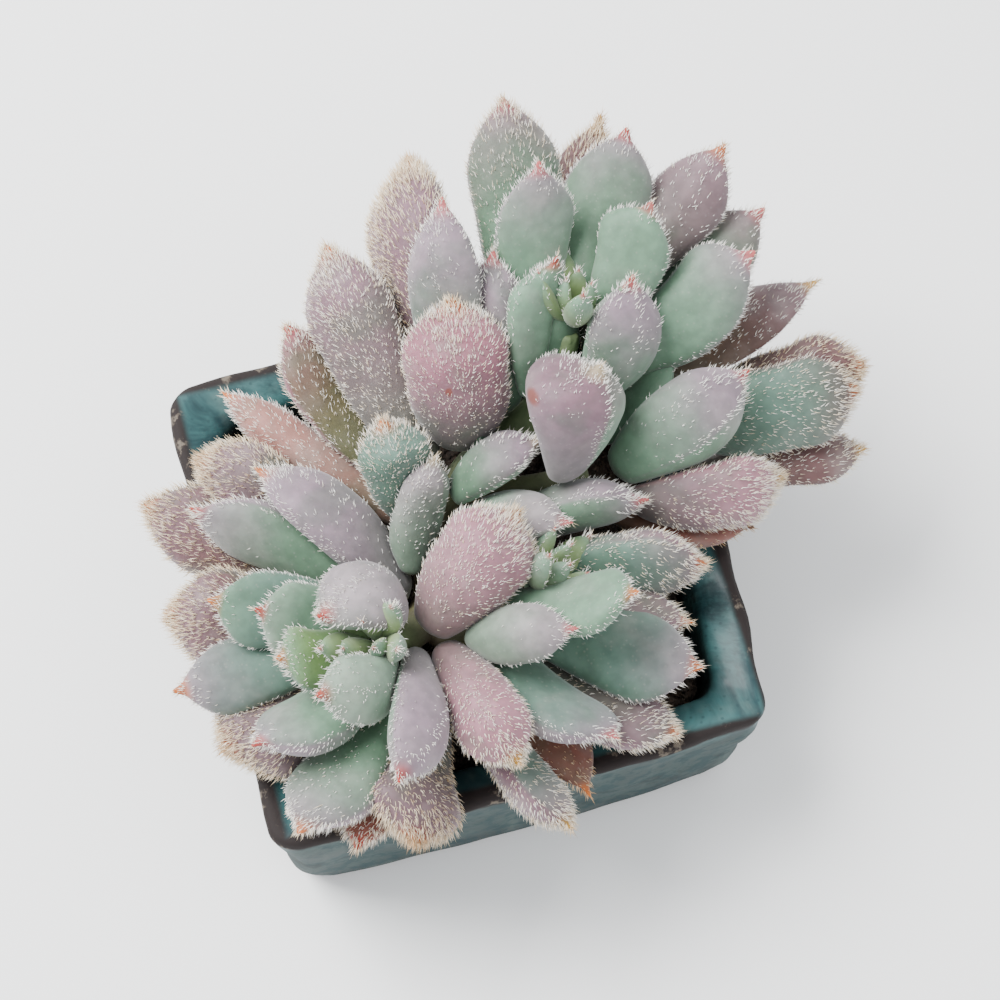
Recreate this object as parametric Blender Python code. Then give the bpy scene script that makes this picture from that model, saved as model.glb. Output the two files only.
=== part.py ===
"""A potted succulent: a square glazed pot, soil, a branched stem, three hearts and plump leaves."""

import math

import bmesh
import bpy
import numpy as np

for leftover in list(bpy.data.objects):
    bpy.data.objects.remove(leftover, do_unlink=True)

MM = 0.001
GAP = 0.3
# The pot, in millimetres.
POT_WIDTH = 100.0
POT_HEIGHT = 40.0
POT_FOOT_WIDTH = 91.0
RIM_WIDTH = 8.5
RIM_FALL = 2.6
FLOOR_THICKNESS = 6.0
RIM_CORNER = 4.5
FOOT_CORNER = 8.0
FLOOR_CORNER_EXTRA = 3.0
FLOOR_ROUND = 2.0
SIDE_BULGE = 1.6
RIM_WAVE = 0.45
DRAIN_DIAMETER = 9.0
DRAIN_OFFSET = 18.0
DRAIN_SIDES = 20
FOOT_ROUND = 1.6
FOOT_EDGE = 0.4
RIM_LIP = 0.7
RIM_INNER_STEP = 0.6
RIM_INNER_DROP = 1.6
HOLLOW_DRAW_IN = 4.0
SIDE_STEPS = 5
CORNER_STEPS = 6
SOIL_HEIGHT = 28.0
SOIL_ROUGHNESS = 0.7
SOIL_EDGE_HEIGHT = 1.0
SOIL_EDGE_INSET = 2.0
SOIL_HUMP_SHARES = (0.72, 0.5, 0.3)
# The plant.
PLANT_SCALE = 1.0
LEAF_CORE = 0.3
LEAF_ROOT_GAP = 0.9
ROOT_STEP = 0.5
ROOT_STEPS = 30
ROOT_CLIMB = 1.2
TRUNK_STEPS = 4
STEM_MARGIN = 1.06
LEAF_SHARE_ABOVE = 0.42
MARGIN_SHARPNESS = 0.35
CROWN_FOCUS = 16.0
HEART_LENGTH = 11.0
HEART_ROOT_GAP = 2.5
HEART_WIDTH = 7.5
STEM_SIDES = 10
LEAF_SIDES = 10
LEAF_RINGS = 10

# Stem lines as (x, y, z above the rim, radius): every branch starts inside the trunk.
TRUNK = [(-6, -5, -20, 5.0), (-7, -7, -8, 4.8), (-8, -8, 2, 4.6)]
BRANCHES = {
    "a": [
        (-8, -8, 0, 4.4),
        (-4, 4, 5, 4.2),
        (4, 12, 9, 4.0),
        (15, 16, 14, 3.8),
        (23, 20, 21, 3.2),
        (27, 26, 30, 2.4),
    ],
    "b": [(-8, -8, 0, 4.2), (-13, -15, 6, 3.6), (-18, -19, 11, 3.0), (-21.5, -21, 19, 2.2)],
    "c": [(-8, -8, 0, 4.2), (-9, -17, 5, 3.6), (-1, -20, 9, 3.0), (7.5, -18.5, 15, 2.2)],
    "d": [(0, 8, 6, 3.2), (13, 6, 8, 3.0), (26, 5, 10, 2.2)],
}

# Leaves: branch, place along it, compass angle, rise, length, width, thickness, bow, roll, look.
LEAVES = {
    "leaf_a01": ("a", 0.50, 92, 20, 58, 20, 10, 0.12, -80, "mauve"),
    "leaf_a02": ("a", 0.45, 86, 43, 51, 18, 10, 0.08, -90, "pale"),
    "leaf_a03": ("a", 0.78, 85, 20, 56, 19, 10, 0.08, 20, "green"),
    "leaf_a05": ("a", 0.72, 77, 45, 46, 18, 9, 0.08, 30, "green"),
    "leaf_a06": ("a", 0.78, 57, 28, 50, 20, 9, 0.08, 0, "green"),
    "leaf_a07": ("a", 0.85, 36, 21, 52, 18, 9, 0.08, -20, "mauve"),
    "leaf_a08": ("a", 0.88, 40, 36, 34, 19, 8, 0.08, -20, "green"),
    "leaf_a09": ("a", 0.80, 23, 14, 51, 22, 9, 0.08, -30, "green"),
    "leaf_a10": ("a", 0.78, 13, 23, 45, 23, 11, 0.08, -40, "green"),
    "leaf_a12": ("d", 0.95, 354, 14, 33, 14, 9, 0.04, 0, "old"),
    "leaf_a13": ("d", 0.80, 357, 7, 34, 20, 12, 0.04, -20, "mauve"),
    "leaf_a14": ("d", 0.70, 355, 0, 36, 13, 9, 0.04, 0, "old"),
    "leaf_a15": ("d", 0.55, 17, 23, 31, 19, 10, 0.08, 150, "mauve"),
    "leaf_a16": ("a", 0.74, 49, 52, 26, 20, 9, 0.12, 80, "green"),
    "leaf_a17": ("d", 0.50, 40, 55, 25, 23, 21, 0.12, 80, "mauve"),
    "leaf_a18": ("d", 0.50, 351, 8, 29, 16, 11, 0.08, 80, "pink"),
    "leaf_a19": ("d", 0.35, 335, 0, 29, 14, 7, 0.04, 0, "dry"),
    "leaf_a20": ("a", 0.68, 65, 44, 27, 20, 10, 0.10, 0, "young"),
    "leaf_a22": ("a", 0.55, 79, 47, 34, 20, 9, 0.10, -100, "young"),
    "leaf_a23": ("a", 0.38, 81, 52, 37, 21, 13, 0.12, -100, "pink"),
    "leaf_a24": ("a", 0.25, 102, 27, 55, 19, 10, 0.05, -90, "mauve"),
    "leaf_a25": ("a", 0.20, 116, 23, 48, 16, 7, 0.05, 30, "dry"),
    "leaf_a26": ("a", 0.15, 131, 10, 50, 10, 8, 0.04, -100, "pink"),
    "leaf_b00": ("a", 0.08, 142, 10, 50, 18, 9, 0.04, -80, "old"),
    "leaf_b01": ("b", 0.35, 140, 1, 58, 16, 9, 0.04, 0, "old"),
    "leaf_b02": ("b", 0.40, 139, 12, 47, 20, 10, 0.06, 40, "green"),
    "leaf_b03": ("b", 0.20, 130, 26, 42, 20, 10, 0.06, 110, "mauve"),
    "leaf_b04": ("b", 0.45, 161, 1, 46, 17, 12, 0.04, 0, "old"),
    "leaf_b05": ("b", 0.60, 158, 15, 36, 19, 8, 0.08, 0, "green"),
    "leaf_b06": ("b", 0.75, 161, 28, 27, 17, 8, 0.10, 0, "young"),
    "leaf_b07": ("b", 0.40, 184, 52, 28, 19, 14, 0.14, 120, "mauve"),
    "leaf_b08": ("b", 0.90, 182, 22, 21, 15, 7, 0.08, 0, "young"),
    "leaf_b10": ("b", 0.50, 181, 5, 44, 19, 9, 0.06, 0, "green"),
    "leaf_b11": ("b", 0.35, 201, 43, 22, 16, 9, 0.10, -120, "pale"),
    "leaf_b12": ("b", 0.55, 206, 13, 36, 21, 10, 0.08, -40, "green"),
    "leaf_b13": ("b", 0.35, 199, 0, 43, 21, 12, 0.04, 0, "old"),
    "leaf_b14": ("b", 0.40, 228, 5, 45, 22, 11, 0.06, -20, "green"),
    "leaf_b15": ("b", 0.30, 250, 30, 43, 16, 10, 0.06, -100, "pale"),
    "leaf_b16": ("c", 0.25, 250, 6, 44, 20, 10, 0.04, 0, "old"),
    "leaf_b17": ("b", 0.25, 240, 0, 46, 16, 8, 0.03, 0, "dry"),
    "leaf_c01": ("b", 0.10, 59, 40, 23, 13, 10, 0.08, -50, "pale"),
    "leaf_c02": ("a", 0.20, 101, 53, 23, 14, 10, 0.08, -90, "old"),
    "leaf_c03": ("a", 0.12, 9, 30, 20, 15, 9, 0.06, 160, "green"),
    "leaf_c04": ("a", 0.20, 335, 26, 23, 14, 8, 0.08, 150, "green"),
    "leaf_c05": ("c", 0.05, 352, 21, 31, 20, 10, 0.06, -60, "green"),
    "leaf_c06": ("c", 0.60, 350, 8, 34, 18, 9, 0.06, -70, "old"),
    "leaf_c07": ("c", 0.75, 335, 29, 27, 20, 7, 0.08, -30, "young"),
    "leaf_c08": ("c", 0.30, 340, 30, 22, 12, 8, 0.06, 90, "pale"),
    "leaf_c10": ("c", 0.70, 333, 1, 39, 22, 9, 0.06, -30, "green"),
    "leaf_c11": ("c", 0.65, 301, 10, 33, 24, 9, 0.08, 0, "green"),
    "leaf_c12": ("c", 0.50, 320, -3, 44, 18, 9, 0.04, 0, "old"),
    "leaf_c13": ("c", 0.35, 286, 3, 45, 16, 9, 0.04, 20, "mauve"),
    "leaf_c16": ("c", 0.30, 34, 28, 28, 18, 13, 0.06, -110, "pink"),
    "leaf_c17": ("c", 0.30, 284, 16, 30, 14, 9, 0.05, 110, "pink"),
}

# Leaves that lean over a branch start at a point of their own: x, y, z above the rim.
LEAF_BASES = {
    "leaf_c06": (8, -13.5, 8),
    "leaf_a12": (50.5, 14.5, 8),
    "leaf_a13": (46, 8.5, 11),
    "leaf_a14": (44.5, 2.5, 3),
    "leaf_a18": (32, -2, 10),
    "leaf_a19": (27, 1, 5),
    "leaf_a15": (30, 2.5, 14),
    "leaf_a16": (29, 16.5, 19),
    "leaf_a17": (17.5, 2.5, 20),
    "leaf_a20": (18.5, 17, 23),
    "leaf_a22": (12, 18, 13),
    "leaf_b11": (-20, -26, 15),
    "leaf_c01": (-12.5, -6, 10),
    "leaf_c02": (-8.5, 4, 10),
    "leaf_c03": (-1, 5, 15),
    "leaf_c04": (-1.5, 0.5, 12),
    "leaf_c05": (4, -2.5, 8),
    "leaf_c07": (2.5, -17.5, 17),
    "leaf_c08": (-6, -23.5, 15),
    "leaf_c16": (-12.5, -20, 15),
    "leaf_c17": (-10.5, -22, 12),
}

# Looks: colour and roughness.
LOOKS = {
    "young": ((0.36, 0.45, 0.24), 0.62),
    "green": ((0.30, 0.42, 0.36), 0.60),
    "pale": ((0.58, 0.60, 0.58), 0.62),
    "mauve": ((0.46, 0.38, 0.44), 0.62),
    "pink": ((0.60, 0.40, 0.44), 0.66),
    "old": ((0.34, 0.26, 0.28), 0.72),
    "dry": ((0.26, 0.13, 0.09), 0.80),
    "glaze": ((0.10, 0.26, 0.28), 0.24),
    "soil": ((0.035, 0.028, 0.022), 0.95),
    "bark": ((0.24, 0.16, 0.10), 0.85),
}

# The leaf outline: share of the length, half width and half thickness as shares of their largest.
LEAF_PLACE = [0.0, 0.03, 0.12, 0.25, 0.39, 0.53, 0.67, 0.79, 0.89, 0.96, 1.0]
LEAF_HALF_WIDTH = [0.0, 0.42, 0.60, 0.81, 0.96, 1.0, 0.94, 0.76, 0.48, 0.21, 0.0]
LEAF_HALF_THICKNESS = [0.0, 0.48, 0.66, 0.82, 0.94, 1.0, 0.96, 0.80, 0.54, 0.25, 0.0]


def unit(vector):
    vector = np.asarray(vector, float)
    return vector / np.linalg.norm(vector)


def material(name, look):
    colour, rough = LOOKS[look]
    made = bpy.data.materials.new(name)
    made.use_nodes = True
    shader = made.node_tree.nodes["Principled BSDF"]
    shader.inputs["Base Color"].default_value = (*colour, 1.0)
    shader.inputs["Roughness"].default_value = rough
    shader.inputs["Metallic"].default_value = 0.0
    made.diffuse_color = (*colour, 1.0)
    return made


def place_mesh(name, mesh_data, look, smooth=True):
    """One named object from a bmesh in millimetres, with its own material."""
    bmesh.ops.recalc_face_normals(mesh_data, faces=mesh_data.faces)
    bmesh.ops.scale(mesh_data, vec=(MM, MM, MM), verts=mesh_data.verts)
    mesh = bpy.data.meshes.new(name)
    mesh_data.to_mesh(mesh)
    mesh_data.free()
    for face in mesh.polygons:
        face.use_smooth = smooth
    made = bpy.data.objects.new(name, mesh)
    bpy.context.scene.collection.objects.link(made)
    made.data.materials.append(material(name, look))
    return made


def boolean(target, cutter, operation):
    step = target.modifiers.new(cutter.name, "BOOLEAN")
    step.operation = operation
    step.solver = "EXACT"
    step.object = cutter
    cutter.hide_render = True
    cutter.display_type = "WIRE"


# The pot and the soil.


def square_loop(half, corner, height, wave):
    """Points round a rounded square whose sides swell a little, counter-clockwise."""
    points = []
    for turn in range(4):
        angle = turn * math.pi / 2
        along = (math.cos(angle), math.sin(angle))
        out = (math.sin(angle), -math.cos(angle))
        reach = half - corner
        for step in range(SIDE_STEPS):
            share = step / SIDE_STEPS * 2 - 1
            swell = SIDE_BULGE * (1 - share * share)
            x = along[0] * reach * share + out[0] * (half + swell)
            y = along[1] * reach * share + out[1] * (half + swell)
            points.append((x, y))
        for step in range(CORNER_STEPS):
            bend = angle - math.pi / 2 + step / CORNER_STEPS * math.pi / 2
            centre = (along[0] * reach + out[0] * reach, along[1] * reach + out[1] * reach)
            points.append((centre[0] + corner * math.cos(bend), centre[1] + corner * math.sin(bend)))
    loop = []
    for index, (x, y) in enumerate(points):
        turn = index / len(points) * 2 * math.pi
        shake = wave * (math.sin(5 * turn + 0.6) + 0.6 * math.sin(11 * turn + 2.0))
        outward = 1 + shake / (2 * half)
        loop.append((x * outward, y * outward, height + shake * 0.8))
    return loop


def stacked(loops):
    """A closed body through loops of equal length, with a flat face at each end."""
    made = bmesh.new()
    circle = bmesh.ops.create_circle(made, cap_ends=True, radius=1.0, segments=len(loops[0]))
    ring = circle["verts"]
    move_ring(ring, loops[0])
    for step, loop in enumerate(loops[1:]):
        ring = raise_ring(made, ring, keep_cap=step == 0)
        move_ring(ring, loop)
    return made


def move_ring(ring, points):
    for vert, point in zip(ring, points):
        vert.co = point


def raise_ring(made, ring, keep_cap):
    """Extrudes the cap inside a ring and returns the new ring in the same order."""
    cap = next(face for face in ring[0].link_faces if len(face.verts) == len(ring))
    grown = bmesh.ops.extrude_face_region(made, geom=[cap])["geom"]
    fresh = {part for part in grown if isinstance(part, bmesh.types.BMVert)}
    partners = []
    for vert in ring:
        beyond = [edge.other_vert(vert) for edge in vert.link_edges]
        partners.append(next(other for other in beyond if other in fresh))
    if not keep_cap and cap.is_valid:
        bmesh.ops.delete(made, geom=[cap], context="FACES_ONLY")
    return partners


def rim_share(height):
    return height / POT_HEIGHT


def outer_half(height):
    share = rim_share(height)
    grow = share**0.8
    return (POT_FOOT_WIDTH + (POT_WIDTH - POT_FOOT_WIDTH) * grow) / 2 - SIDE_BULGE


def inner_half(height):
    """Half the width of the hollow, which draws in towards the floor."""
    top = POT_WIDTH / 2 - SIDE_BULGE - RIM_WIDTH
    return top - HOLLOW_DRAW_IN * (1 - rim_share(height))


def inner_corner(height):
    """Corner radius of the hollow, wider at the floor."""
    depth_share = (POT_HEIGHT - height) / (POT_HEIGHT - FLOOR_THICKNESS)
    return RIM_CORNER + FLOOR_CORNER_EXTRA * depth_share


def outer_corner(height):
    return FOOT_CORNER + (RIM_CORNER - FOOT_CORNER) * rim_share(height)


def hollow_loop(height, inset):
    return square_loop(inner_half(height) - inset, inner_corner(height) - inset, height, 0)


def build_pot():
    outside = [
        square_loop(outer_half(0) - FOOT_ROUND, FOOT_CORNER - FOOT_ROUND, 0, 0),
        square_loop(outer_half(0) - FOOT_EDGE, FOOT_CORNER, FOOT_EDGE, 0),
        square_loop(outer_half(FOOT_ROUND), FOOT_CORNER, FOOT_ROUND, 0),
    ]
    for share in (0.3, 0.6, 0.85):
        height = POT_HEIGHT * share
        wave = RIM_WAVE * share / 2
        outside.append(square_loop(outer_half(height), outer_corner(height), height, wave))
    edge = outer_half(POT_HEIGHT)
    outside.append(square_loop(edge, RIM_CORNER, POT_HEIGHT - RIM_LIP, RIM_WAVE))
    outside.append(square_loop(edge - RIM_LIP, RIM_CORNER - RIM_LIP, POT_HEIGHT, RIM_WAVE))
    rim_in = inner_half(POT_HEIGHT)
    rim_low = POT_HEIGHT - RIM_FALL
    inside = [
        square_loop((edge + rim_in) / 2, RIM_CORNER, POT_HEIGHT - RIM_FALL * 0.4, RIM_WAVE / 2),
        square_loop(rim_in + RIM_INNER_STEP, RIM_CORNER, rim_low, RIM_WAVE / 3),
        square_loop(rim_in - RIM_INNER_STEP / 3, RIM_CORNER, rim_low - RIM_INNER_DROP, 0),
        hollow_loop(SOIL_HEIGHT, 0),
        hollow_loop(FLOOR_THICKNESS + FLOOR_ROUND, 0),
        hollow_loop(FLOOR_THICKNESS, FLOOR_ROUND),
    ]
    pot = place_mesh("pot", stacked(outside + inside), "glaze")
    for side in (-1, 1):
        hole = bmesh.new()
        bmesh.ops.create_cone(
            hole,
            cap_ends=True,
            segments=DRAIN_SIDES,
            radius1=DRAIN_DIAMETER / 2,
            radius2=DRAIN_DIAMETER / 2,
            depth=FLOOR_THICKNESS * 3,
        )
        bmesh.ops.translate(hole, vec=(side * DRAIN_OFFSET, 0, FLOOR_THICKNESS / 2), verts=hole.verts)
        boolean(pot, place_mesh(f"drain_cutter_{side}", hole, "glaze"), "DIFFERENCE")


def build_soil():
    low = FLOOR_THICKNESS + GAP
    loops = [hollow_loop(low, FLOOR_ROUND + GAP * 2)]
    for height in (low + FLOOR_ROUND, SOIL_HEIGHT - SOIL_EDGE_HEIGHT):
        loops.append(hollow_loop(height, GAP * 2))
    loops.append(hollow_loop(SOIL_HEIGHT, SOIL_EDGE_INSET))
    for share in SOIL_HUMP_SHARES:
        half = inner_half(SOIL_HEIGHT) * share
        rise = SOIL_ROUGHNESS * (1 - share) * 2
        loops.append(square_loop(half, RIM_CORNER, SOIL_HEIGHT + rise, 0))
    soil = place_mesh("soil", stacked(loops), "soil")
    bore = bmesh.new()
    line, radii = branch_rings(TRUNK, TRUNK_STEPS)
    line[0] = line[0] - unit(line[1] - line[0]) * GAP
    add_tube(bore, line, [radius + GAP for radius in radii])
    boolean(soil, place_mesh("root_cutter", bore, "soil"), "DIFFERENCE")


# The stem.


def lifted(point):
    """A plant point in millimetres above the floor: plant heights are measured from the rim."""
    point = np.array(point[:3], float)
    point[2] = max(point[2], 0) * PLANT_SCALE + min(point[2], 0)
    point[:2] *= PLANT_SCALE
    return point + (0, 0, POT_HEIGHT)


def add_tube(made, line, radii):
    """A closed round tube along a line, as rings extruded from a filled circle."""
    circle = bmesh.ops.create_circle(made, cap_ends=True, radius=1.0, segments=STEM_SIDES)
    ring = circle["verts"]
    flat = [(vert.co.x, vert.co.y) for vert in ring]
    for step, (centre, radius) in enumerate(zip(line, radii)):
        if step:
            ring = raise_ring(made, ring, keep_cap=step == 1)
        ahead = line[min(step + 1, len(line) - 1)] - line[max(step - 1, 0)]
        across, up = cross_axes(unit(ahead))
        for vert, (x, y) in zip(ring, flat):
            vert.co = centre + (across * x + up * y) * radius


def cross_axes(ahead):
    across = unit(np.cross(ahead, (0.3, 0.9, 0.1)))
    return across, np.cross(ahead, across)


def smooth_line(points, steps):
    """A line of evenly shared steps through the given points, bent gently between them."""
    points = np.array(points, float)
    ends = np.vstack([2 * points[0] - points[1], points, 2 * points[-1] - points[-2]])
    line = []
    for step in range(steps + 1):
        along = step / steps * (len(points) - 1)
        part = min(int(along), len(points) - 2)
        t = along - part
        p0, p1, p2, p3 = ends[part : part + 4]
        bend = 2 * p1 + (p2 - p0) * t + (2 * p0 - 5 * p1 + 4 * p2 - p3) * t * t
        line.append((bend + (3 * p1 - p0 - 3 * p2 + p3) * t**3) / 2)
    return line


def branch_rings(points, steps):
    full = smooth_line(points, steps)
    line = [lifted(point) for point in full]
    radii = [point[3] * PLANT_SCALE for point in full]
    return line, radii


STEM_LINES = {name: branch_rings(points, 4 + 2 * len(points)) for name, points in BRANCHES.items()}


def build_stem():
    trunk = bmesh.new()
    add_tube(trunk, *branch_rings(TRUNK, TRUNK_STEPS))
    stem = place_mesh("stem", trunk, "bark")
    for name, (line, radii) in STEM_LINES.items():
        tube = bmesh.new()
        add_tube(tube, line, radii)
        boolean(stem, place_mesh(f"branch_cutter_{name}", tube, "bark"), "UNION")


def on_branch(name, place):
    """Centre, forward direction and radius at a share of a branch's length."""
    line, radii = STEM_LINES[name]
    along = place * (len(line) - 1)
    part = min(int(along), len(line) - 2)
    share = along - part
    centre = line[part] * (1 - share) + line[part + 1] * share
    ahead = unit(line[part + 1] - line[part])
    return centre, ahead, radii[part] * (1 - share) + radii[part + 1] * share


# The leaves and the hearts.


def sphere_plan():
    """Ring number and turn of each vertex of the ball that every leaf is shaped from."""
    ball = bmesh.new()
    bmesh.ops.create_uvsphere(ball, u_segments=LEAF_SIDES, v_segments=LEAF_RINGS, radius=1.0)
    plan = []
    for vert in ball.verts:
        fall = math.acos(max(-1.0, min(1.0, -vert.co.z)))
        turn = math.atan2(vert.co.y, vert.co.x)
        plan.append((round(fall / math.pi * LEAF_RINGS), turn))
    ball.free()
    return plan


PLAN = sphere_plan()


def leaf_axes(direction, crown, middle, roll):
    """Across and upper directions of a leaf whose upper side looks to the crown."""
    to_crown = crown - middle
    upper = unit(to_crown - direction * np.dot(to_crown, direction))
    across = np.cross(upper, direction)
    turn = math.radians(roll)
    upper, across = (
        upper * math.cos(turn) + across * math.sin(turn),
        across * math.cos(turn) - upper * math.sin(turn),
    )
    return across, upper


def crown_of(branch):
    line, _ = STEM_LINES[branch]
    ahead = unit(unit(line[-1] - line[-2]) + (0, 0, 1))
    return line[-1] + ahead * CROWN_FOCUS * PLANT_SCALE


def stem_clearance(points):
    """Smallest distance from the points to the surface of any branch."""
    nearest = math.inf
    for line, radii in STEM_LINES.values():
        for step in range(len(line) - 1):
            along = line[step + 1] - line[step]
            share = np.clip((points - line[step]) @ along / np.dot(along, along), 0, 1)
            width = radii[step] * (1 - share) + radii[step + 1] * share
            away = np.linalg.norm(points - line[step] - np.outer(share, along), axis=1) - width
            nearest = min(nearest, float(away.min()))
    return nearest


def leaf_shape(name):
    """Spine points and surface points of one leaf before its neighbours press it."""
    branch, place, compass, rise, length, width, thickness, bow, roll, _ = LEAVES[name]
    turn, lift = math.radians(compass), math.radians(rise)
    level = math.cos(lift)
    direction = np.array((math.cos(turn) * level, math.sin(turn) * level, math.sin(lift)))
    length, width, thickness = (size * PLANT_SCALE for size in (length, width, thickness))
    if name in LEAF_BASES:
        base = lifted(LEAF_BASES[name])
        tip = base + direction * length
    else:
        root, ahead, radius = on_branch(branch, place)
        lean = max(math.sqrt(1 - np.dot(direction, ahead) ** 2), 0.5)
        base = root + direction * (radius + LEAF_ROOT_GAP) / lean
        tip = root + direction * length
    across, upper = leaf_axes(direction, crown_of(branch), (base + tip) / 2, roll)
    share = np.array(LEAF_PLACE)
    climb = unit(direction + (0, 0, ROOT_CLIMB))
    for _ in range(ROOT_STEPS):
        sag = bow * length * 4 * share * (1 - share)
        spine = base + np.outer(share, tip - base) - np.outer(sag, upper)
        if stem_clearance(spine) > LEAF_ROOT_GAP:
            break
        base = base + climb * ROOT_STEP
    surface = []
    for ring, turn in PLAN:
        side = math.cos(turn) * LEAF_HALF_WIDTH[ring] * width / 2
        high = math.sin(turn) * abs(math.sin(turn)) ** MARGIN_SHARPNESS
        high *= LEAF_HALF_THICKNESS[ring] * thickness
        high *= LEAF_SHARE_ABOVE if high > 0 else 1 - LEAF_SHARE_ABOVE
        surface.append(spine[ring] + across * side + upper * high)
    return spine, np.array(surface)


def heart_shape(branch):
    """A small pointed heart of folded young leaves at the end of a branch."""
    line, radii = STEM_LINES[branch]
    ahead = unit(line[-1] - line[-2])
    across, up = cross_axes(ahead)
    length = HEART_LENGTH * PLANT_SCALE
    share = np.array(LEAF_PLACE)
    spine = line[-1] + np.outer(HEART_ROOT_GAP + length * share, ahead)
    surface = []
    for ring, turn in PLAN:
        body = math.sin(math.pi * min(share[ring] ** 0.75, 1.0)) ** 0.8
        fold = 1 + 0.22 * math.cos(3 * turn + 2.4 * share[ring])
        reach = HEART_WIDTH / 2 * PLANT_SCALE * body * fold
        surface.append(spine[ring] + (across * math.cos(turn) + up * math.sin(turn)) * reach)
    return spine, np.array(surface)


def even_directions(count):
    steps = np.arange(count) + 0.5
    height = 1 - 2 * steps / count
    turn = math.pi * (1 + 5**0.5) * steps
    flat = np.sqrt(1 - height * height)
    return np.stack([flat * np.cos(turn), flat * np.sin(turn), height], axis=1)


DIRECTIONS = even_directions(500)


def nearest_direction(first, second):
    """Direction between the closest points of two convex hulls, found by repeated steps."""
    gap = first.mean(axis=0) - second.mean(axis=0)
    for _ in range(60):
        far = first[np.argmin(first @ gap)] - second[np.argmax(second @ gap)]
        move = gap - far
        size = np.dot(move, move)
        if size < 1e-12:
            break
        gap = gap - move * np.clip(np.dot(gap, move) / size, 0, 1)
    return gap / max(np.linalg.norm(gap), 1e-9)


def parting_plane(first, second, fixed_second=False):
    """The plane between two bodies that presses them least, or None if they are clear."""
    spine1, surface1 = first
    spine2, surface2 = second
    reach = np.linalg.norm(surface1 - surface1.mean(axis=0), axis=1).max()
    reach += np.linalg.norm(surface2 - surface2.mean(axis=0), axis=1).max()
    if np.linalg.norm(surface1.mean(axis=0) - surface2.mean(axis=0)) > reach + GAP:
        return None
    by_spine = nearest_direction(spine1, spine2)
    by_surface = nearest_direction(surface1, surface2)
    tries = np.vstack([by_spine, by_surface, DIRECTIONS])
    best = None
    for spread in (None, 0.12, 0.03):
        if spread:
            tries = best[1] + DIRECTIONS * spread
            tries = np.vstack([best[1], tries / np.linalg.norm(tries, axis=1)[:, None]])
        found = least_pressing(tries, spine1, surface1, spine2, surface2, fixed_second)
        if best is None or found[0] < best[0]:
            best = found
        if best[0] <= 0:
            return None
    return best[1], best[2]


def least_pressing(tries, spine1, surface1, spine2, surface2, fixed_second):
    core = LEAF_CORE
    half = GAP / 2
    high1, low1 = surface1 @ tries.T, (spine1 @ tries.T).min(axis=0)
    high2, top2 = surface2 @ tries.T, (spine2 @ tries.T).max(axis=0)
    if fixed_second:
        top2 = high2.max(axis=0) - core
    floor, roof = top2 + half + core, low1 - half - core
    best = (math.inf, None, None)
    room = roof - floor
    usable = room >= min(0, room.max())
    shares = [0.0] if fixed_second else np.linspace(0, 1, 9)
    for share in shares:
        cut = floor + (roof - floor) * share
        cost = np.maximum(cut + half - high1, 0).sum(axis=0)
        if not fixed_second:
            cost = cost + np.maximum(high2 - cut + half, 0).sum(axis=0)
        cost = np.where(usable, cost, math.inf)
        pick = int(np.argmin(cost))
        if cost[pick] < best[0]:
            best = (float(cost[pick]), tries[pick], float(cut[pick]))
    return best


def pressed(shape, planes):
    """The surface drawn in towards its spine until it is behind every plane."""
    spine, surface = shape
    centres = spine[[ring for ring, _ in PLAN]]
    keep = np.ones(len(surface))
    for direction, limit in planes:
        inside = centres @ direction - limit
        outside = surface @ direction - limit
        crossing = (outside < 0) & (inside > outside)
        keep[crossing] = np.minimum(keep[crossing], inside[crossing] / (inside - outside)[crossing])
    return centres + (surface - centres) * np.clip(keep, 0.0, 1.0)[:, None]


def stem_hulls():
    """Short convex pieces that together hold the whole stem."""
    hulls = []
    for line, radii in [branch_rings(TRUNK, TRUNK_STEPS), *STEM_LINES.values()]:
        for step in range(len(line) - 1):
            ahead = unit(line[step + 1] - line[step])
            across, up = cross_axes(ahead)
            points = []
            for centre, radius in zip(line[step : step + 2], radii[step : step + 2]):
                for turn in np.linspace(0, 2 * math.pi, 10, endpoint=False):
                    out = across * math.cos(turn) + up * math.sin(turn)
                    points.append(centre + out * radius * STEM_MARGIN)
            hulls.append(np.array(points))
    return hulls


def build_plant():
    shapes = {name: leaf_shape(name) for name in LEAVES}
    looks = {name: row[-1] for name, row in LEAVES.items()}
    for branch in ("a", "b", "c"):
        shapes[f"heart_{branch}"] = heart_shape(branch)
        looks[f"heart_{branch}"] = "young"
    planes = {name: [(np.array((0, 0, 1.0)), POT_HEIGHT + RIM_WAVE * 2 + GAP)] for name in shapes}
    names = list(shapes)
    for index, first in enumerate(names):
        for second in names[index + 1 :]:
            found = parting_plane(shapes[first], shapes[second])
            if found:
                direction, offset = found
                planes[first].append((direction, offset + GAP / 2))
                planes[second].append((-direction, -offset + GAP / 2))
    for hull in stem_hulls():
        for name in names:
            found = parting_plane(shapes[name], (hull, hull), fixed_second=True)
            if found:
                planes[name].append((found[0], found[1] + GAP / 2))
    for name in names:
        surface = pressed(shapes[name], planes[name])
        ball = bmesh.new()
        bmesh.ops.create_uvsphere(ball, u_segments=LEAF_SIDES, v_segments=LEAF_RINGS, radius=1.0)
        for vert, point in zip(ball.verts, surface):
            vert.co = point
        place_mesh(name, ball, looks[name])


build_pot()
build_soil()
build_stem()
build_plant()
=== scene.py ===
import math

import bmesh
import bpy
import numpy as np
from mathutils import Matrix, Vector
from mathutils.bvhtree import BVHTree


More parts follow.
